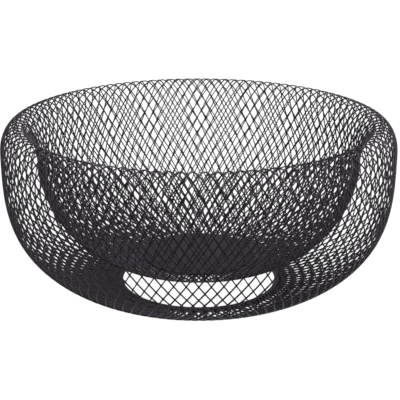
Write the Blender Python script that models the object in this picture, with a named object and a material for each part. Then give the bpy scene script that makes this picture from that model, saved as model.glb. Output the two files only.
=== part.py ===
"""A round double-walled mesh basket, 300 mm across, in black powder-coated steel.

One sleeve of slit and stretched sheet steel makes the whole basket. It starts on a flat ring
under the foot, swells out as the outer wall, rolls over the rim and runs down inside as the
bowl, where its other end is held under a round plate. The sleeve is modelled in five zones,
and its crossings follow the rule of real slit mesh: the strands of a stretch are equally long,
so the diamonds are wide and low where the sleeve is wide, and narrow and tall where it draws in.

Metres, +Z up. The origin is on the basket's axis, at the level of the table.
"""
from math import cos, pi, sin

import bmesh
import bpy
import numpy as np
from mathutils import Vector

# Outline of the sleeve, measured over the strands
OVERALL_HEIGHT = 0.131
BELLY_RADIUS = 0.150
RIM_RISE = 0.020
RIM_OUTER_RUN = 0.013
RIM_INNER_RUN = 0.0145
RIM_INNER_FALL = 0.029

# How square each quarter of the outline is; 2 gives an ellipse
WALL_RUN_POWER = 1.65
WALL_RISE_POWER = 3.1
RIM_POWER = 2.0
BOWL_RUN_POWER = 2.0
BOWL_FALL_POWER = 1.9

# Foot ring, a flat band under the sleeve's outer end
FOOT_OPENING_RADIUS = 0.0600
FOOT_RING_WIDTH = 0.0080
FOOT_RING_THICKNESS = 0.0015

# Floor plate, a disc on the sleeve's inner end
PLATE_RADIUS = 0.0440
PLATE_THICKNESS = 0.0015
PLATE_TOP_HEIGHT = 0.0215

# Mesh: crossings counted round the axis, and rows of strands along each stretch of the outline
STRANDS_ROUND = 32
LOWER_WALL_ROWS = 5
UPPER_WALL_ROWS = 4
RIM_OUTER_ROWS = 2
RIM_INNER_ROWS = 3
UPPER_BOWL_ROWS = 4
LOWER_BOWL_ROWS = 4
STRAND_WIDTH = 0.0022
STRAND_DEPTH = 0.0022
TIP_SETBACK = 0.0020

# Edges of the flat pieces are softened, and neighbours clear each other by a coat's thickness
EDGE_ROUND = 0.0004
COAT_GAP = 0.0003

# Smoothness of the computed curves
PROFILE_STEPS = 160
TURN_STEPS = 64


def powder_coat(name, shade, roughness):
    """Dark powder coat on steel, as a plain Principled surface."""
    material = bpy.data.materials.new(name)
    material.use_nodes = True
    surface = material.node_tree.nodes["Principled BSDF"]
    surface.inputs["Base Color"].default_value = (*shade, 1.0)
    surface.inputs["Roughness"].default_value = roughness
    surface.inputs["Metallic"].default_value = 0.0
    return material


def add_object(name, bm, material):
    """Puts a finished mesh into the scene as the named sub-part."""
    bmesh.ops.recalc_face_normals(bm, faces=bm.faces)
    mesh = bpy.data.meshes.new(name)
    bm.to_mesh(mesh)
    bm.free()
    mesh.materials.append(material)
    sub_part = bpy.data.objects.new(name, mesh)
    bpy.context.scene.collection.objects.link(sub_part)
    return sub_part


def quarter(start, end, start_power, end_power):
    """A quarter turn between two (radius, height) points.

    It leaves the start along the radius and reaches the end along the height.
    """
    turns = np.linspace(0.0, pi / 2, PROFILE_STEPS)
    radii = start[0] + (end[0] - start[0]) * np.sin(turns) ** (2 / start_power)
    heights = start[1] + (end[1] - start[1]) * (1 - np.cos(turns) ** (2 / end_power))
    return np.column_stack((radii, heights))


def sleeve_stretches():
    """Mid-line of the sleeve's wall from the foot to the plate, in stretches with their rows of strands."""
    half_depth = STRAND_DEPTH / 2
    crest_radius = BELLY_RADIUS - RIM_OUTER_RUN
    foot = (FOOT_OPENING_RADIUS + TIP_SETBACK, FOOT_RING_THICKNESS + COAT_GAP + half_depth)
    belly = (BELLY_RADIUS - half_depth, OVERALL_HEIGHT - RIM_RISE)
    crest = (crest_radius, OVERALL_HEIGHT - half_depth)
    mouth = (crest_radius - RIM_INNER_RUN, OVERALL_HEIGHT - RIM_INNER_FALL)
    floor = (PLATE_RADIUS - TIP_SETBACK, PLATE_TOP_HEIGHT - PLATE_THICKNESS - COAT_GAP - half_depth)
    wall = quarter(foot, belly, WALL_RUN_POWER, WALL_RISE_POWER)
    rim_outside = quarter(crest, belly, RIM_POWER, RIM_POWER)[::-1]
    rim_inside = quarter(crest, mouth, RIM_POWER, RIM_POWER)
    bowl = quarter(floor, mouth, BOWL_RUN_POWER, BOWL_FALL_POWER)[::-1]
    return [
        (wall, LOWER_WALL_ROWS + UPPER_WALL_ROWS),
        (rim_outside, RIM_OUTER_ROWS),
        (rim_inside, RIM_INNER_ROWS),
        (bowl, UPPER_BOWL_ROWS + LOWER_BOWL_ROWS),
    ]


def crossing_levels(stretch, rows):
    """Radius, height and outward normal of each row of crossings along a stretch.

    The strand length is found by halving, so that the rows of equal strands just fill the stretch.
    """
    radii, heights = stretch.T
    steps = np.hypot(np.diff(radii), np.diff(heights))
    places = np.concatenate(([0.0], np.cumsum(steps)))
    half_spacings = pi * (radii[1:] + radii[:-1]) / 2 / STRANDS_ROUND
    shortest, longest = half_spacings.max(), half_spacings.max() + places[-1]
    for _ in range(PROFILE_STEPS):
        strand_length = (shortest + longest) / 2
        rises = np.sqrt(strand_length ** 2 - half_spacings ** 2)
        if (steps / rises).sum() > rows:
            shortest = strand_length
        else:
            longest = strand_length
    rows_so_far = np.concatenate(([0.0], np.cumsum(steps / rises)))
    row_places = np.interp(np.linspace(0.0, rows_so_far[-1], rows + 1), rows_so_far, places)
    run, rise, radius, height = (
        np.interp(row_places, places, values)
        for values in (np.gradient(radii, places), np.gradient(heights, places), radii, heights)
    )
    return [
        (radius[row], height[row], Vector((rise[row], 0.0, -run[row])).normalized())
        for row in range(rows + 1)
    ]


def polar(radius, angle, height):
    """Point at a radius and angle round the basket's axis."""
    return Vector((radius * cos(angle), radius * sin(angle), height))


class Crossing:
    """The points where four strands meet: a ridge outside and inside, and the corners of four diamonds.

    A crossing on a zone's end row has strands on one side only. It ends in a tip, or flat where the
    next zone goes on.
    """

    def __init__(self, bm, level, before, after, angle, has_tip):
        radius, height, normal = level
        centre = polar(radius, angle, height)
        ahead = self.chord_to(after, centre, angle)
        back = self.chord_to(before, centre, angle)
        reach = (ahead or back).length
        half_spacing = pi * radius / STRANDS_ROUND
        slant = (reach ** 2 + half_spacing ** 2) ** 0.5
        to_side = STRAND_WIDTH / 2 * slant / reach
        to_crotch = STRAND_WIDTH / 2 * slant / half_spacing
        if ahead and back:
            self.ahead = bm.verts.new(centre + ahead.normalized() * to_crotch)
            self.back = bm.verts.new(centre + back.normalized() * to_crotch)
        else:
            inwards = (ahead or back).normalized()
            crotch = bm.verts.new(centre + inwards * to_crotch)
            tip = bm.verts.new(centre - inwards * STRAND_WIDTH / 2) if has_tip else None
            self.ahead, self.back = (crotch, tip) if ahead else (tip, crotch)
            if not has_tip:
                centre = centre + inwards * COAT_GAP / 2
        outwards = Vector((normal.x * cos(angle), normal.x * sin(angle), normal.z))
        sideways = Vector((-sin(angle), cos(angle), 0.0))
        self.outer = bm.verts.new(centre + outwards * STRAND_DEPTH / 2)
        self.inner = bm.verts.new(centre - outwards * STRAND_DEPTH / 2)
        self.left = bm.verts.new(centre - sideways * to_side)
        self.right = bm.verts.new(centre + sideways * to_side)

    @staticmethod
    def chord_to(level, centre, angle):
        """Vector to the middle of the two crossings that this one joins on the next or last row."""
        if level is None:
            return None
        radius, height, _ = level
        return polar(radius * cos(pi / STRANDS_ROUND), angle, height) - centre

    def close_end(self, bm, tip):
        """Closes the end of a crossing on the first or last row, with a tip or flat."""
        around = [self.outer, self.left, self.inner, self.right]
        if tip is None:
            bm.faces.new(around)
            return
        for here, there in zip(around, around[1:] + around[:1]):
            bm.faces.new([tip, here, there])


def add_strand(bm, start, end, leans_right):
    """A four-sided strand between two crossings, with a ridge outside and inside."""
    left_side = (start.ahead, end.left) if leans_right else (start.left, end.back)
    right_side = (start.right, end.back) if leans_right else (start.ahead, end.right)
    ridges = [left_side, (start.outer, end.outer), right_side, (start.inner, end.inner)]
    for (near, far), (next_near, next_far) in zip(ridges, ridges[1:] + ridges[:1]):
        bm.faces.new([near, next_near, next_far, far])


def mesh_zone(name, levels, first_row, tip_at_start, tip_at_end, material):
    """One zone of the slit mesh, with a crossing at every place of its rows."""
    bm = bmesh.new()
    rows = []
    last = len(levels) - 1
    for row, level in enumerate(levels):
        before = levels[row - 1] if row > 0 else None
        after = levels[row + 1] if row < last else None
        has_tip = tip_at_start if row == 0 else tip_at_end
        offset = (first_row + row) % 2 / 2
        angles = [2 * pi * (column + offset) / STRANDS_ROUND for column in range(STRANDS_ROUND)]
        rows.append([Crossing(bm, level, before, after, angle, has_tip) for angle in angles])
    for row in range(last):
        for column, start in enumerate(rows[row]):
            right = (column + (first_row + row) % 2) % STRANDS_ROUND
            add_strand(bm, start, rows[row + 1][right], True)
            add_strand(bm, start, rows[row + 1][right - 1], False)
    for crossing in rows[0]:
        crossing.close_end(bm, crossing.back)
    for crossing in rows[-1]:
        crossing.close_end(bm, crossing.ahead)
    return add_object(name, bm, material)


def mesh_sleeve(material):
    """The slit-mesh sleeve in five zones, with its rows in step from the foot to the plate."""
    levels = []
    for stretch, rows in sleeve_stretches():
        levels += crossing_levels(stretch, rows)[1 if levels else 0:]
    zones = [
        ("lower_wall", LOWER_WALL_ROWS),
        ("upper_wall", UPPER_WALL_ROWS),
        ("rolled_rim", RIM_OUTER_ROWS + RIM_INNER_ROWS),
        ("upper_bowl", UPPER_BOWL_ROWS),
        ("lower_bowl", LOWER_BOWL_ROWS),
    ]
    first_row = 0
    for name, rows in zones:
        zone_levels = levels[first_row:first_row + rows + 1]
        mesh_zone(name, zone_levels, first_row, name == zones[0][0], name == zones[-1][0], material)
        first_row += rows


def turned_band(name, inner_radius, outer_radius, bottom, thickness, material):
    """A flat ring or disc turned round the axis, with softened edges."""
    top = bottom + thickness
    outline = [(inner_radius, bottom), (outer_radius, bottom), (outer_radius, top), (inner_radius, top)]
    bm = bmesh.new()
    verts = [bm.verts.new((radius, 0.0, height)) for radius, height in outline]
    edges = [bm.edges.new(pair) for pair in zip(verts, verts[1:])]
    if inner_radius > 0:
        edges.append(bm.edges.new((verts[-1], verts[0])))
    bmesh.ops.spin(bm, geom=verts + edges, axis=(0, 0, 1), cent=(0, 0, 0), angle=2 * pi,
                   steps=TURN_STEPS, use_merge=True)
    bmesh.ops.remove_doubles(bm, verts=bm.verts, dist=EDGE_ROUND / 4)
    band = add_object(name, bm, material)
    band.data.shade_smooth()
    band.data.set_sharp_from_angle(angle=pi / 6)
    softening = band.modifiers.new("softened edges", "BEVEL")
    softening.width = EDGE_ROUND
    softening.segments = 1
    softening.limit_method = "ANGLE"
    return band


def foot_ring(material):
    """Flat band that the sleeve's outer end is welded on, and that the basket stands on."""
    outer_radius = FOOT_OPENING_RADIUS + FOOT_RING_WIDTH
    return turned_band("foot_ring", FOOT_OPENING_RADIUS, outer_radius, 0.0, FOOT_RING_THICKNESS, material)


def floor_plate(material):
    """Disc that covers the sleeve's inner end at the bottom of the bowl."""
    bottom = PLATE_TOP_HEIGHT - PLATE_THICKNESS
    return turned_band("floor_plate", 0.0, PLATE_RADIUS, bottom, PLATE_THICKNESS, material)


def main():
    for old in list(bpy.context.scene.objects):
        bpy.data.objects.remove(old)
    black = powder_coat("black powder coat", (0.018, 0.017, 0.020), 0.5)
    smooth_black = powder_coat("smooth black coat", (0.030, 0.028, 0.033), 0.45)
    mesh_sleeve(black)
    foot_ring(black)
    floor_plate(smooth_black)


main()
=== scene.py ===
# %% [markdown]
# # A mesh basket of slit and stretched steel
# This lesson dresses a round double-walled fruit basket. The real one is a single sleeve of black
# steel mesh. It starts on a flat ring under the foot, swells out as the outer wall, rolls over the
# rim and comes down inside as the bowl, where a small round plate closes it.
#
# The CAD model gives the basket's size and its main forms, with a coarse mesh of 32 strands round.
# Here the same sleeve is made again at the real fineness, about eleven thousand strands.

# %% Load the frame
from math import cos, pi, radians, sin

import bmesh
import bpy
import numpy as np
from mathutils import Matrix, Vector


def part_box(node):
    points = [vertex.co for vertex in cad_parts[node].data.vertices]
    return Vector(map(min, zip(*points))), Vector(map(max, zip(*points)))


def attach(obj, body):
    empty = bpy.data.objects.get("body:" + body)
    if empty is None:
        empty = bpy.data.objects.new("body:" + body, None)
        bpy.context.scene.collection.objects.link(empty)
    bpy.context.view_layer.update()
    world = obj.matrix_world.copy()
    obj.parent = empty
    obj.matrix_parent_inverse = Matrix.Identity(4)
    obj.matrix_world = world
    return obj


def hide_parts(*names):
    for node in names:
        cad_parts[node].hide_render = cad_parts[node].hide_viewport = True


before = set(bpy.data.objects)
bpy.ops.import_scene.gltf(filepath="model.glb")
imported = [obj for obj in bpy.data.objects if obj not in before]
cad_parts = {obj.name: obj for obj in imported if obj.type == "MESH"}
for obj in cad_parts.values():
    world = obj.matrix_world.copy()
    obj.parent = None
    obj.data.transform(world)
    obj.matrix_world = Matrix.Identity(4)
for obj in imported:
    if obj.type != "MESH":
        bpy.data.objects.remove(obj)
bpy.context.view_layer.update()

print("CAD nodes:", ", ".join(sorted(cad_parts)))

# %% [markdown]
# ## The measures come from the frame
# The fine mesh has to lie exactly where the coarse one is. So the lesson reads the sleeve's outline
# from the CAD nodes: how high it is, where it is widest, where its crest and its mouth are.

# %% Measure the CAD nodes


def places_of(node):
    """Radius and height of every vertex of a CAD node, about the basket's axis."""
    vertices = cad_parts[node].data.vertices
    flat = np.empty(len(vertices) * 3)
    vertices.foreach_get("co", flat)
    x, y, z = flat.reshape(-1, 3).T
    return np.hypot(x, y), z


rim_radii, rim_heights = places_of("rolled_rim")
TOP = rim_heights.max()
CREST_RADIUS = rim_radii[rim_heights.argmax()]
BELLY_RADIUS = rim_radii.max()
BELLY_HEIGHT = rim_heights[rim_radii.argmax()]
MOUTH_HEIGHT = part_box("upper_bowl")[1].z
RING_INNER, RING_OUTER = places_of("foot_ring")[0].min(), places_of("foot_ring")[0].max()
RING_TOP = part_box("foot_ring")[1].z
PLATE_RADIUS = places_of("floor_plate")[0].max()
PLATE_BOTTOM, PLATE_TOP = (corner.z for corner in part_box("floor_plate"))
print(f"top {TOP * 1000:.1f}, crest radius {CREST_RADIUS * 1000:.1f}, belly {BELLY_RADIUS * 1000:.1f}"
      f" at {BELLY_HEIGHT * 1000:.1f}, mouth at {MOUTH_HEIGHT * 1000:.1f} mm")
print(f"ring {RING_INNER * 1000:.1f} to {RING_OUTER * 1000:.1f}, plate {PLATE_RADIUS * 1000:.1f} mm")

# %% [markdown]
# ## What the coarse mesh can't tell
# The number and the length of the strands were fitted to the picture: where the crossings stand in
# front of the foot opening, and how the layers of mesh line up behind each other. The widths were
# set by how much white shows through each region. The powers bend the outline to the silhouette.

# %% Set the sizes of the fine mesh
# The strands
STRANDS_ROUND = 108
STRAND_LENGTH = 0.00790
STRAND_WIDTH = 0.00082
STRAND_DEPTH = 0.00090
SECTION_POWER = 0.6  # 1 gives a round strand, less gives it flatter sides
BOND_FILLET = 0.25  # the share by which a strand widens at its ends

# How they change where the sleeve draws in, and how far the crossings drift at the back
WALL_GAIN = 1.15
BOWL_GAIN = 0.2
WALL_TILT = 0.0008
BOWL_TILT = 0.0
COLUMN_DRIFT = 0.2

# Where the stretches of the outline start and end
MOUTH_RADIUS = 0.1224
FOOT_END_RADIUS = 0.06375
FLAT_FOOT_RADIUS = 0.0725
FLOOR_END_RADIUS = 0.0405
RUN_OUT_RADIUS = 0.0324
WELD_SINK = 0.0001  # how deep the ends of the sleeve sink into the ring and the plate

# How square each quarter of the outline is; 2 gives an ellipse
WALL_RUN_POWER, WALL_RISE_POWER = 1.50, 3.31
RIM_POWER = 2.0
BOWL_RUN_POWER, BOWL_FALL_POWER = 1.98, 1.88
print(f"{STRANDS_ROUND} strands round, each {STRAND_LENGTH * 1000:.1f} mm long"
      f" and {STRAND_WIDTH * 1000:.2f} mm wide")

# %% [markdown]
# ## The outline of the sleeve
# Cut the basket in half and the mesh shows as one long curve. It lies flat on the foot ring, lifts
# off a little outside it, turns upright at the belly, rolls over the crest and falls in a bowl
# towards the plate. After the flat start, each stretch is a quarter of a squared ellipse, which
# needs only two end points and two powers. That is easier to steer than a hand-drawn curve, and
# neighbours always meet without a kink.

# %% Draw the outline
QUARTER_STEPS = 400


def quarter(start, end, start_power, end_power):
    """Leaves the start along the radius and reaches the end along the height."""
    turns = np.linspace(0.0, pi / 2, QUARTER_STEPS)
    radii = start[0] + (end[0] - start[0]) * np.sin(turns) ** (2 / start_power)
    heights = start[1] + (end[1] - start[1]) * (1 - np.cos(turns) ** (2 / end_power))
    return np.column_stack((radii, heights))


half_depth = STRAND_DEPTH / 2
foot_end = (FOOT_END_RADIUS, RING_TOP + half_depth - WELD_SINK)
lift_off = (FLAT_FOOT_RADIUS, foot_end[1])
belly = (BELLY_RADIUS - half_depth, BELLY_HEIGHT)
crest = (CREST_RADIUS, TOP - half_depth)
mouth = (MOUTH_RADIUS, MOUTH_HEIGHT)
floor_end = (FLOOR_END_RADIUS, PLATE_BOTTOM - half_depth + WELD_SINK)
run_out = (RUN_OUT_RADIUS, floor_end[1])
outline = np.concatenate((
    [foot_end],
    quarter(lift_off, belly, WALL_RUN_POWER, WALL_RISE_POWER),
    quarter(crest, belly, RIM_POWER, RIM_POWER)[::-1][1:],
    quarter(crest, mouth, RIM_POWER, RIM_POWER)[1:],
    quarter(floor_end, mouth, BOWL_RUN_POWER, BOWL_FALL_POWER)[::-1][1:],
    [run_out],
))
crest_at = outline[:, 1].argmax()
print(f"the outline has {len(outline)} points and its crest is point {crest_at}")

# %% [markdown]
# ## Rows of equal strands
# Slit mesh is cut flat and then pulled open, so every strand has the same length. Where the sleeve
# is wide, the crossings of a row stand far apart, the strands lie flatter and the rows are closer
# together. Where it draws in, the diamonds turn tall and narrow. Pythagoras gives the height of a
# row from the strand's length and half the spacing, and adding those heights up along the outline
# tells which row of crossings each point of it belongs to.

# %% Number the rows along the outline
steps = np.hypot(*np.diff(outline, axis=0).T)
middle_radii = (outline[1:, 0] + outline[:-1, 0]) / 2
row_heights = np.sqrt(STRAND_LENGTH ** 2 - (pi * middle_radii / STRANDS_ROUND) ** 2)
row_numbers = np.concatenate(([0.0], np.cumsum(steps / row_heights)))
TOTAL_ROWS = int(row_numbers[-1])


def row_on_wall(height):
    """The whole row that is nearest to a height on the outer wall."""
    return round(np.interp(height, outline[:crest_at, 1], row_numbers[:crest_at]))


def row_in_bowl(height):
    """The whole row that is nearest to a height on the inside."""
    falling = slice(crest_at, len(outline) - 1)
    return round(np.interp(-height, -outline[falling, 1], row_numbers[falling]))


last_rows = {
    "lower_wall": row_on_wall(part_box("lower_wall")[1].z),
    "upper_wall": row_on_wall(BELLY_HEIGHT),
    "rolled_rim": row_in_bowl(MOUTH_HEIGHT),
    "upper_bowl": row_in_bowl(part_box("lower_bowl")[1].z),
    "lower_bowl": TOTAL_ROWS,
}
print(f"{row_numbers[-1]:.2f} rows along the outline; the zones end at rows", last_rows)
print(f"{STRANDS_ROUND * 2 * TOTAL_ROWS} strands")

# %% [markdown]
# ## A guide line for the mesh
# Geometry Nodes can read any mesh, so the outline is handed to them as a plain line of vertices,
# eight for each row of crossings. Then a row number is all it takes to find a place on the sleeve.
# Each vertex also carries the outward direction, which tells the strands where their thickness goes.

# %% Make the guide line
STEPS_PER_ROW = 8


def guide_line(first_row, last_row):
    """Vertices along the outline from one row to another, with their outward directions."""
    rows = np.linspace(first_row, last_row, (last_row - first_row) * STEPS_PER_ROW + 1)
    radii, heights = (np.interp(rows, row_numbers, values) for values in outline.T)
    mesh = bpy.data.meshes.new("guide line")
    mesh.from_pydata([(radius, 0.0, height) for radius, height in zip(radii, heights)],
                     [(step, step + 1) for step in range(len(rows) - 1)], [])
    runs, rises = np.gradient(radii), np.gradient(heights)
    lengths = np.hypot(runs, rises)
    outward = np.column_stack((rises / lengths, np.zeros(len(rows)), -runs / lengths))
    directions = mesh.attributes.new("outward", "FLOAT_VECTOR", "POINT")
    directions.data.foreach_set("vector", outward.ravel())
    return mesh


print(f"a guide line has {STEPS_PER_ROW} steps for each row")

# %% [markdown]
# ## Node trees written as sums
# A tree of Math nodes is hard to read, and harder to write in Python one link at a time. The small
# class below wraps the output of a node. Python's own operators then add the Math nodes, so
# `1 - mask` or `width / 2` builds what it says. Everything else comes from `add`, which takes
# the node's type, its settings and the values or links of its sockets. The Math node is the same in
# materials and in Geometry Nodes, so both kinds of tree are written this way.
#
# A Mix node has a pair of sockets called A and B for each type of value, so its sockets are given by
# number: 4 and 5 are the pair for vectors, 6 and 7 the pair for colours.

# %% Wrap sockets for Python sums


class Wire:
    """The output of a node, ready to be used in a Python expression."""

    def __init__(self, recipe, socket):
        self.recipe = recipe
        self.socket = socket

    def output(self, name):
        """Another output of the same node."""
        return Wire(self.recipe, self.socket.node.outputs[name])

    def __add__(self, other):
        return self.recipe.maths("ADD", self, other)

    def __radd__(self, other):
        return self.recipe.maths("ADD", other, self)

    def __sub__(self, other):
        return self.recipe.maths("SUBTRACT", self, other)

    def __rsub__(self, other):
        return self.recipe.maths("SUBTRACT", other, self)

    def __mul__(self, other):
        return self.recipe.maths("MULTIPLY", self, other)

    def __rmul__(self, other):
        return self.recipe.maths("MULTIPLY", other, self)

    def __truediv__(self, other):
        return self.recipe.maths("DIVIDE", self, other)

    def __rtruediv__(self, other):
        return self.recipe.maths("DIVIDE", other, self)

    def __pow__(self, other):
        return self.recipe.maths("POWER", self, other)

    def __mod__(self, other):
        return self.recipe.maths("FLOORED_MODULO", self, other)

    def __abs__(self):
        return self.recipe.maths("ABSOLUTE", self)


class Recipe:
    """A node tree that is being written."""

    def __init__(self, tree):
        self.tree = tree
        tree.nodes.clear()

    def add(self, kind, settings=None, sockets=None, output=0):
        """One node: its settings are made first, then its sockets are set or linked."""
        node = self.tree.nodes.new(kind)
        for name, value in (settings or {}).items():
            setattr(node, name, value)
        for name, value in (sockets or {}).items():
            if isinstance(value, Wire):
                self.tree.links.new(value.socket, node.inputs[name])
            else:
                node.inputs[name].default_value = value
        return Wire(self, node.outputs[output]) if node.outputs else node

    def maths(self, operation, *values):
        """One Math node."""
        return self.add("ShaderNodeMath", {"operation": operation}, dict(enumerate(values)))


print("sockets can be used in sums")

# %% [markdown]
# ## One strand, bent thousands of times
# All strands of the sleeve are the same little tube: it starts at one crossing and ends at the next,
# half a spacing to the right or left and one row further on. Ten thousand curves with a bevel could
# make them, but then the crossings would only overlap. So a Geometry Nodes tree puts one straight
# tube at every place of the pattern, and then moves its vertices with a single rule.

# %% Start the slit-mesh tree with its straight tubes
TUBE_SIDES = 8
BAKE_MAP = "OFBake"


def new_tree(name, inputs):
    """An empty Geometry Nodes tree with named inputs, and a recipe to fill it."""
    tree = bpy.data.node_groups.new(name, "GeometryNodeTree")
    tree.interface.new_socket(name="Geometry", in_out="OUTPUT", socket_type="NodeSocketGeometry")
    for title, kind in inputs.items():
        tree.interface.new_socket(name=title, in_out="INPUT", socket_type="NodeSocket" + kind)
    recipe = Recipe(tree)
    return tree, recipe, recipe.add("NodeGroupInput")


slit_mesh, recipe, given = new_tree("slit mesh", {
    "Geometry": "Geometry", "Strands Round": "Int", "First Row": "Int", "Rows": "Int",
    "Steps per Row": "Int", "Strand Length": "Float", "Strand Width": "Float",
    "Strand Depth": "Float", "Section Power": "Float", "Widest Radius": "Float",
    "Narrow Gain": "Float", "Narrow Tilt": "Float", "Bond Fillet": "Float", "Column Drift": "Float",
    "Side Segments": "Int", "Crowding": "Float", "Material": "Material",
})
strands_round = given.output("Strands Round")
strand_length = given.output("Strand Length")
strand_count = strands_round * given.output("Rows") * 2

# A straight tube, with room for its own picture in the bake
tube = recipe.add("GeometryNodeMeshCylinder", {"fill_type": "NONE"}, {
    "Vertices": TUBE_SIDES, "Side Segments": given.output("Side Segments"),
    "Radius": 1.0, "Depth": 1.0,
})
tube = recipe.add("GeometryNodeStoreNamedAttribute", {"data_type": "FLOAT2", "domain": "CORNER"}, {
    "Geometry": tube, "Name": BAKE_MAP, "Value": tube.output("UV Map"),
})

# One tube for each place in the pattern, each with its number
places = recipe.add("GeometryNodePoints", None, {"Count": strand_count})
places = recipe.add("GeometryNodeStoreNamedAttribute", {"data_type": "INT", "domain": "POINT"}, {
    "Geometry": places, "Name": "strand", "Value": recipe.add("GeometryNodeInputIndex"),
})
strands = recipe.add("GeometryNodeInstanceOnPoints", None, {"Points": places, "Instance": tube})
strands = recipe.add("GeometryNodeRealizeInstances", None, {"Geometry": strands})

# A strand's number tells its column, its row and the side it leans to
strand = recipe.add("GeometryNodeInputNamedAttribute", {"data_type": "INT"}, {"Name": "strand"})
column = strand % strands_round
pair = recipe.maths("FLOOR", strand / strands_round)
lean = pair % 2 * 2 - 1
row = recipe.maths("FLOOR", pair / 2)
print(f"the straight tubes take {len(slit_mesh.nodes)} nodes")

# %% [markdown]
# ## Where a vertex is on its tube
# Before it is bent, each vertex is named by three numbers: how far it is across the strand, through
# its thickness and along its length. A power below 1 turns the round tube into one with flatter
# sides, like a strand cut from sheet. The same trick crowds the rings of vertices towards the ends,
# where the strand bends most. Two small helpers then look up places on the guide line.

# %% Name the places on a tube and on the guide line
straight = recipe.add("ShaderNodeSeparateXYZ", None, {0: recipe.add("GeometryNodeInputPosition")})
along = straight.output("Z") * 2


def signed_power(value, power):
    """A power of a value that keeps its sign."""
    return recipe.maths("SIGN", value) * abs(value) ** power


across = signed_power(straight, given.output("Section Power"))
through = signed_power(straight.output("Y"), given.output("Section Power"))
crowded = signed_power(along, given.output("Crowding")) / 2 + 0.5


def at_vertex(value, index):
    """A vector of the guide line at one of its vertices."""
    return recipe.add("GeometryNodeSampleIndex", {
        "data_type": "FLOAT_VECTOR", "domain": "POINT", "clamp": True,
    }, {"Geometry": given, "Value": value, "Index": index})


def on_guide(value, row_number):
    """A vector of the guide line at any row number, between its vertices too."""
    place = row_number * given.output("Steps per Row")
    before = recipe.maths("FLOOR", place)
    return recipe.add("ShaderNodeMix", {"data_type": "VECTOR"}, {
        0: place - before, 4: at_vertex(value, before), 5: at_vertex(value, before + 1),
    }, 1)


def parts(vector):
    """The X and Z of a vector, which are a guide line's radius and height."""
    split = recipe.add("ShaderNodeSeparateXYZ", None, {0: vector})
    return split, split.output("Z")


guide_place = recipe.add("GeometryNodeInputPosition")
guide_outward = recipe.add("GeometryNodeInputNamedAttribute", {
    "data_type": "FLOAT_VECTOR",
}, {"Name": "outward"})
print(f"with places and lookups it has {len(slit_mesh.nodes)} nodes")

# %% [markdown]
# ## The rule for one strand
# The rule first works in the flat pattern, where crossings lie at whole numbers. A tube's two ends
# are cut along the lines between neighbours, so that four strands share the same vertices where they
# meet, as in sheet metal that was never cut through. They also widen a little there, like the real
# slits, whose ends are rounded.
#
# Stretching thins a strand. Where the sleeve draws in towards its ends, the strands are stretched
# less, so they are broader and thicker there, and on the outer wall they also turn a little on
# edge, all to the same hand. That is why the lower wall looks closed on the left and open on the
# right. Narrow Gain and Narrow Tilt say how much, and both fade to nothing at the widest radius.

# %% Shape the strands in the flat pattern
END_POWER = 8  # how suddenly a strand widens at its ends

local_radius, _ = parts(on_guide(guide_place, row + crowded))
half_spacing = local_radius * pi / strands_round
row_height = (strand_length ** 2 - half_spacing ** 2) ** 0.5
closeness = 1 - local_radius / given.output("Widest Radius")
growth = closeness * given.output("Narrow Gain") + 1
cut = given.output("Strand Width") * growth / 2 * strand_length / (row_height * half_spacing)
near_end = abs(along) ** END_POWER
cut = cut * (given.output("Bond Fillet") * near_end + 1)

# The pattern: half spacings sideways, rows upwards
shift = abs(across) * cut / 2
on_strand = crowded + shift * (1 - 2 * crowded)
sideways = lean * on_strand + across * cut / 2
upwards = row + on_strand - lean * across * cut / 2

# How far each vertex stands out of the sleeve's middle surface
tilt = across * (2 - near_end) - lean * abs(across) * recipe.maths("SIGN", along) * near_end
lift = through * given.output("Strand Depth") * growth / 2
lift = lift + tilt * closeness * given.output("Narrow Tilt") / 2
print(f"with the strand's shape it has {len(slit_mesh.nodes)} nodes")

# %% [markdown]
# ## Wrapping the pattern round the basket
# Sideways becomes an angle, and the row number is looked up on the guide line, which gives the
# radius and the height. No sleeve is stretched quite evenly: Column Drift moves the crossings at
# the back round by a share of their spacing, which decides where the layers leave larger openings
# together. Last, every strand gets a cell of its own in the square that a bake paints.

# %% Wrap the strands and finish the tree
DRIFT_POWER = 3  # how closely the drift keeps to the back
CELL_MARGIN = 0.1  # the free share on each side of a strand's cell

radius, height = parts(on_guide(guide_place, upwards))
outward_run, outward_rise = parts(on_guide(guide_outward, upwards))
stagger = (row + given.output("First Row")) % 2
angle = (column * 2 + stagger + sideways) * pi / strands_round - pi / 2
towards_back = ((recipe.maths("SINE", angle) + 1) / 2) ** DRIFT_POWER
angle = angle + towards_back * given.output("Column Drift") * 2 * pi / strands_round
radius = radius + outward_run * lift
wrapped = recipe.add("ShaderNodeCombineXYZ", None, {
    "X": radius * recipe.maths("COSINE", angle),
    "Y": radius * recipe.maths("SINE", angle),
    "Z": height + outward_rise * lift,
})
strands = recipe.add("GeometryNodeSetPosition", None, {"Geometry": strands, "Position": wrapped})
strands = recipe.add("GeometryNodeFlipFaces", None, {"Mesh": strands})

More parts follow.
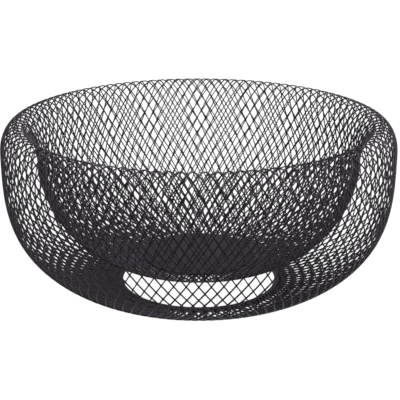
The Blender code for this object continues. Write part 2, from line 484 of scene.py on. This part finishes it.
# The cells lie row by row in the square
cells = recipe.maths("CEIL", strand_count ** 0.5)
own_map = recipe.add("GeometryNodeInputNamedAttribute", {
    "data_type": "FLOAT_VECTOR",
}, {"Name": BAKE_MAP})
own_map = recipe.add("ShaderNodeSeparateXYZ", None, {0: own_map})
cell_width = 1 - 2 * CELL_MARGIN
cell_map = recipe.add("ShaderNodeCombineXYZ", None, {
    "X": (strand % cells + CELL_MARGIN + own_map * cell_width) / cells,
    "Y": (recipe.maths("FLOOR", strand / cells) + CELL_MARGIN + own_map.output("Y") * cell_width) / cells,
})
strands = recipe.add("GeometryNodeStoreNamedAttribute", {"data_type": "FLOAT2", "domain": "CORNER"}, {
    "Geometry": strands, "Name": BAKE_MAP, "Value": cell_map,
})
strands = recipe.add("GeometryNodeRemoveAttribute", None, {"Geometry": strands, "Name": "strand"})
strands = recipe.add("GeometryNodeSetShadeSmooth", None, {"Geometry": strands, "Shade Smooth": True})
strands = recipe.add("GeometryNodeRealizeInstances", None, {"Geometry": strands})
strands = recipe.add("GeometryNodeSetMaterial", None, {
    "Geometry": strands, "Material": given.output("Material"),
})
recipe.add("NodeGroupOutput", None, {"Geometry": strands})
print(f"the whole slit-mesh tree has {len(slit_mesh.nodes)} nodes")

# %% [markdown]
# ## Satin black powder coat
# The steel is powder-coated: a dry colour that is melted on in an oven. It hides the metal, dulls the
# shine and leaves a very fine orange-peel skin. Black is never quite black: in soft light this coat
# is a dark grey with a touch of violet, and those are its base colours. Its gloss is low, and clouds
# and grain vary colour and roughness a little. The patterns are read from object coordinates, so
# they run on through the pieces of the sleeve without a seam.

# %% Mix the coats
CLOUD_SCALE = 45.0
GRAIN_SCALE = 900.0
CLOUD_SHARE = 0.7  # of the change in colour, the rest is grain
CLOUD_ROUGHENING = 0.12
GRAIN_ROUGHENING = 0.08


def powder_coat(name, dark, light, roughness, gloss, peel_size, peel_height):
    """A powder coat with cloudy colour and roughness, and a fine orange-peel skin."""
    material = bpy.data.materials.new(name)
    material.use_nodes = True
    coat = Recipe(material.node_tree)
    place = coat.add("ShaderNodeTexCoord", output="Object")
    clouds = coat.add("ShaderNodeTexNoise", None, {"Vector": place, "Scale": CLOUD_SCALE, "Detail": 3.0})
    grain = coat.add("ShaderNodeTexNoise", None, {"Vector": place, "Scale": GRAIN_SCALE, "Detail": 2.0})
    colour = coat.add("ShaderNodeMix", {"data_type": "RGBA"}, {
        0: clouds * CLOUD_SHARE + grain * (1 - CLOUD_SHARE), 6: (*dark, 1.0), 7: (*light, 1.0),
    }, 2)

    # Noise is a half on average, so half the roughening is taken off beforehand
    smoothest = roughness - (CLOUD_ROUGHENING + GRAIN_ROUGHENING) / 2
    peel = coat.add("ShaderNodeTexNoise", None, {"Vector": place, "Scale": 1 / peel_size, "Detail": 1.5})
    skin = coat.add("ShaderNodeBump", None, {"Height": peel, "Distance": peel_height, "Strength": 1.0})
    surface = coat.add("ShaderNodeBsdfPrincipled", None, {
        "Base Color": colour,
        "Roughness": clouds * CLOUD_ROUGHENING + grain * GRAIN_ROUGHENING + smoothest,
        "Specular IOR Level": gloss,
        "Normal": skin,
    })
    coat.add("ShaderNodeOutputMaterial", None, {"Surface": surface})
    return material


MESH_DARK = (0.022, 0.017, 0.024)
MESH_LIGHT = (0.036, 0.029, 0.039)
MESH_ROUGHNESS = 0.50
MESH_GLOSS = 0.10
PLATE_DARK = (0.013, 0.010, 0.013)
PLATE_LIGHT = (0.018, 0.014, 0.018)
PLATE_ROUGHNESS = 0.42
PLATE_GLOSS = 0.04

mesh_coat = powder_coat("satin black mesh coat", MESH_DARK, MESH_LIGHT, MESH_ROUGHNESS, MESH_GLOSS,
                        peel_size=0.0007, peel_height=0.00003)
ring_coat = powder_coat("satin black ring coat", MESH_DARK, MESH_LIGHT, MESH_ROUGHNESS, MESH_GLOSS,
                        peel_size=0.0008, peel_height=0.00003)
plate_coat = powder_coat("smooth black plate coat", PLATE_DARK, PLATE_LIGHT, PLATE_ROUGHNESS,
                         PLATE_GLOSS, peel_size=0.0010, peel_height=0.00002)
print("coats:", mesh_coat.name, "/", ring_coat.name, "/", plate_coat.name)

# %% [markdown]
# ## The five zones of the sleeve
# The real sleeve has no seams, but one piece of half a million triangles would be hard to handle.
# So the tree runs once for each CAD zone, from row to row, and neighbours share their crossings
# exactly. The result is turned into a plain mesh. Merging the vertices that meet makes each zone one
# closed skin, and the half crossings of its first and last row get small caps. A strand on the rim
# bends over its roll, so its tube has four segments instead of three.

# %% Make the sleeve
MERGE_DISTANCE = 0.00001


def run_tree(name, guide, tree, values):
    """Runs a tree on a guide mesh and returns the result as a plain object."""
    carrier = bpy.data.objects.new(name, guide)
    bpy.context.scene.collection.objects.link(carrier)
    modifier = carrier.modifiers.new(tree.name, "NODES")
    modifier.node_group = tree
    for item in tree.interface.items_tree:
        if item.in_out == "INPUT" and item.name in values:
            modifier[item.identifier] = values[item.name]
    depsgraph = bpy.context.evaluated_depsgraph_get()
    evaluated = carrier.evaluated_get(depsgraph)
    mesh = bpy.data.meshes.new_from_object(evaluated, preserve_all_data_layers=True,
                                           depsgraph=depsgraph)
    carrier.modifiers.remove(modifier)
    carrier.data = mesh
    mesh.name = name
    return carrier


def close_skin(mesh):
    """Merges the vertices that meet and caps the half crossings at both ends."""
    skin = bmesh.new()
    skin.from_mesh(mesh)
    bmesh.ops.remove_doubles(skin, verts=skin.verts, dist=MERGE_DISTANCE)
    open_edges = [edge for edge in skin.edges if edge.is_boundary]
    caps = bmesh.ops.holes_fill(skin, edges=open_edges, sides=TUBE_SIDES)["faces"]
    for cap in caps:
        cap.smooth = False
        for edge in cap.edges:
            edge.smooth = False
    still_open = sum(not edge.is_manifold for edge in skin.edges)
    skin.to_mesh(mesh)
    skin.free()
    return len(caps), still_open


USUAL_SEGMENTS, RIM_SEGMENTS = 3, 4
CROWDING = {USUAL_SEGMENTS: 0.325, RIM_SEGMENTS: 0.4}  # 1 would space the rings of a tube evenly
first_row = 0
for node, last_row in last_rows.items():
    segments = RIM_SEGMENTS if node == "rolled_rim" else USUAL_SEGMENTS
    on_wall = node.endswith("wall")
    zone = run_tree("mesh_" + node, guide_line(first_row, last_row), slit_mesh, {
        "Strands Round": STRANDS_ROUND, "First Row": first_row, "Rows": last_row - first_row,
        "Steps per Row": STEPS_PER_ROW, "Strand Length": STRAND_LENGTH, "Strand Width": STRAND_WIDTH,
        "Strand Depth": STRAND_DEPTH, "Section Power": SECTION_POWER,
        "Widest Radius": float(BELLY_RADIUS), "Narrow Gain": WALL_GAIN if on_wall else BOWL_GAIN,
        "Narrow Tilt": WALL_TILT if on_wall else BOWL_TILT, "Bond Fillet": BOND_FILLET,
        "Column Drift": COLUMN_DRIFT, "Side Segments": segments, "Crowding": CROWDING[segments],
        "Material": mesh_coat,
    })
    caps, still_open = close_skin(zone.data)
    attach(zone, "root")
    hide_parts(node)
    zone.data.calc_loop_triangles()
    print(f"{zone.name}: rows {first_row} to {last_row}, {len(zone.data.loop_triangles)} triangles,"
          f" {caps} caps, {still_open} open edges")
    first_row = last_row

# %% [markdown]
# ## The foot ring and the floor plate
# Both are flat pressings, and a pressed and coated edge is never sharp. So a flat outline is turned
# round the axis, and a Bevel modifier with three segments rounds its rims. The turning takes 192
# steps, so that the edge stays smooth when seen close up. The ring's outline is a closed loop. The
# plate's starts and ends on the axis, so it stays open.
#
# Spin would turn an outline in one call. But it lists the faces of a closed loop in another order on
# each run, and a part of a library should come out the same every time. So the faces are made one by
# one here, between each copy of the outline and the next.

# %% Turn the ring and the plate
TURN_STEPS = 192
EDGE_ROUND = 0.0006
EDGE_SEGMENTS = 3


def turned(name, profile, closed):
    """Turns a line of (radius, height) points round the basket's axis."""
    form = bmesh.new()
    lines = []
    for step in range(TURN_STEPS):
        turn = 2 * pi * step / TURN_STEPS
        lines.append([form.verts.new((radius * cos(turn), radius * sin(turn), height))
                      for radius, height in profile])
    for line, next_line in zip(lines, lines[1:] + lines[:1]):
        rungs = list(zip(line, next_line))
        next_rungs = rungs[1:] + rungs[:1] if closed else rungs[1:]
        for (near, far), (next_near, next_far) in zip(rungs, next_rungs):
            form.faces.new((near, next_near, next_far, far))
    bmesh.ops.remove_doubles(form, verts=form.verts, dist=MERGE_DISTANCE)
    bmesh.ops.recalc_face_normals(form, faces=form.faces)
    mesh = bpy.data.meshes.new(name)
    form.to_mesh(mesh)
    form.free()
    piece = bpy.data.objects.new(name, mesh)
    bpy.context.scene.collection.objects.link(piece)
    rounding = piece.modifiers.new("rounded rims", "BEVEL")
    rounding.width = EDGE_ROUND
    rounding.segments = EDGE_SEGMENTS
    rounding.limit_method = "ANGLE"
    evaluated = piece.evaluated_get(bpy.context.evaluated_depsgraph_get())
    rounded = bpy.data.meshes.new_from_object(evaluated)
    piece.modifiers.remove(rounding)
    piece.data = rounded
    rounded.shade_smooth()
    return piece


def finish_piece(piece, node, coat):
    """Gives a turned piece its coat and hides the CAD node that it stands for."""
    piece.data.materials.append(coat)
    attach(piece, "root")
    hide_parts(node)
    print(f"{piece.name}: {len(piece.data.polygons)} faces")


ring = turned("turned_foot_ring", [(RING_INNER, 0.0), (RING_OUTER, 0.0), (RING_OUTER, RING_TOP),
                                   (RING_INNER, RING_TOP)], closed=True)
finish_piece(ring, "foot_ring", ring_coat)
plate = turned("turned_floor_plate", [(0.0, PLATE_BOTTOM), (PLATE_RADIUS, PLATE_BOTTOM),
                                      (PLATE_RADIUS, PLATE_TOP), (0.0, PLATE_TOP)], closed=False)
finish_piece(plate, "floor_plate", plate_coat)

# %% [markdown]
# ## White studio
# The basket stands on a pale floor. To the camera, and to anything that mirrors it, the floor and the
# world are plain white, without more light on the basket. The floor still takes a faint shadow,
# because a small share of it is a real lit surface.

# %% Lay the floor and set the world
FLOOR_SIZE = 6.0
FLOOR_ALBEDO = 0.25
FLOOR_GLOW = 1.12
FLOOR_GLOW_SHARE = 0.9
AMBIENT = 0.02
WHITE = (1.0, 1.0, 1.0, 1.0)


def seen_or_mirrored(recipe):
    """1 for a ray from the camera, a mirror or glass, and 0 for one that only brings light."""
    rays = recipe.add("ShaderNodeLightPath")
    through = recipe.maths("MAXIMUM", rays.output("Is Glossy Ray"), rays.output("Is Transmission Ray"))
    return recipe.maths("MAXIMUM", rays, through)


floor_mesh = bpy.data.meshes.new("studio_floor")
half = FLOOR_SIZE / 2
floor_corners = [(-half, -half, 0), (half, -half, 0), (half, half, 0), (-half, half, 0)]
floor_mesh.from_pydata(floor_corners, [], [(0, 1, 2, 3)])
floor = bpy.data.objects.new("studio_floor", floor_mesh)
bpy.context.scene.collection.objects.link(floor)
floor_paper = bpy.data.materials.new("white paper")
floor_paper.use_nodes = True
paper = Recipe(floor_paper.node_tree)
lit = paper.add("ShaderNodeBsdfDiffuse", None, {
    "Color": (FLOOR_ALBEDO, FLOOR_ALBEDO, FLOOR_ALBEDO, 1.0),
})
white = paper.add("ShaderNodeEmission", None, {"Color": WHITE, "Strength": FLOOR_GLOW})
paper.add("ShaderNodeOutputMaterial", None, {
    "Surface": paper.add("ShaderNodeMixShader", None, {
        0: seen_or_mirrored(paper) * FLOOR_GLOW_SHARE, 1: lit, 2: white,
    }),
})
floor_mesh.materials.append(floor_paper)

world = bpy.data.worlds.new("white studio")
bpy.context.scene.world = world
world.use_nodes = True
sky = Recipe(world.node_tree)
sky.add("ShaderNodeOutputWorld", None, {
    "Surface": sky.add("ShaderNodeBackground", None, {
        "Color": WHITE, "Strength": AMBIENT + seen_or_mirrored(sky) * (1 - AMBIENT),
    }),
})
print("floor and world are white to the camera")

# %% [markdown]
# ## Soft lamps
# Such a picture is lit by large soft boxes. One hangs above, so the rim and the plate catch its
# light and the underside of the walls stays dark. One stands at each side, and the right one is the
# stronger, because the strands are a little lighter on that side.

# %% Hang the lamps


def soft_box(name, place, target, size, watts):
    """A square area lamp that faces a target."""
    lamp = bpy.data.lights.new(name, "AREA")
    lamp.shape = "SQUARE"
    lamp.size = size
    lamp.energy = watts
    holder = bpy.data.objects.new(name, lamp)
    facing = (Vector(target) - Vector(place)).to_track_quat("-Z", "Y")
    holder.matrix_world = Matrix.LocRotScale(Vector(place), facing, None)
    bpy.context.scene.collection.objects.link(holder)
    return holder


TOP_WATTS = 25.0
LEFT_WATTS = 7.0
RIGHT_WATTS = 36.0
TOP_PLACE = (0.1, 0.0, 1.4)
LEFT_PLACE = (-1.4, 0.2, 0.8)
RIGHT_PLACE = (1.4, 0.1, 0.7)
TOP_SIZE = 1.2
SIDE_SIZE = 0.8

middle = (0.0, 0.0, TOP / 2)
soft_box("top box", TOP_PLACE, middle, TOP_SIZE, TOP_WATTS)
soft_box("left box", LEFT_PLACE, middle, SIDE_SIZE, LEFT_WATTS)
soft_box("right box", RIGHT_PLACE, middle, SIDE_SIZE, RIGHT_WATTS)
print("three soft boxes")

# %% [markdown]
# ## The camera
# The camera stands about 0.86 m in front of the basket, looks down by 19 degrees and has a
# long lens. These values came from fitting the basket's outline to the picture, so its ellipses have
# the same roundness there.

# %% Place the camera
CAMERA_DISTANCE = 0.860
CAMERA_ELEVATION = radians(19.19)
CAMERA_RISE = radians(0.330)  # turns the view up a little
CAMERA_SHIFT = 0.003  # slides the view sideways
TARGET_HEIGHT = 0.060
FOCAL_LENGTH = 99.23
SENSOR_WIDTH = 36.0

camera_data = bpy.data.cameras.new("camera")
camera_data.lens = FOCAL_LENGTH
camera_data.sensor_width = SENSOR_WIDTH
camera_data.sensor_fit = "HORIZONTAL"
camera_data.shift_x = CAMERA_SHIFT
camera_data.clip_end = 20.0
camera = bpy.data.objects.new("camera", camera_data)
camera.location = (0.0, -CAMERA_DISTANCE * cos(CAMERA_ELEVATION),
                   TARGET_HEIGHT + CAMERA_DISTANCE * sin(CAMERA_ELEVATION))
camera.rotation_euler = (pi / 2 - CAMERA_ELEVATION + CAMERA_RISE, 0.0, 0.0)
bpy.context.scene.collection.objects.link(camera)
bpy.context.scene.camera = camera
bpy.context.scene.view_settings.view_transform = "Standard"
print("camera at", [round(value, 3) for value in camera.location])
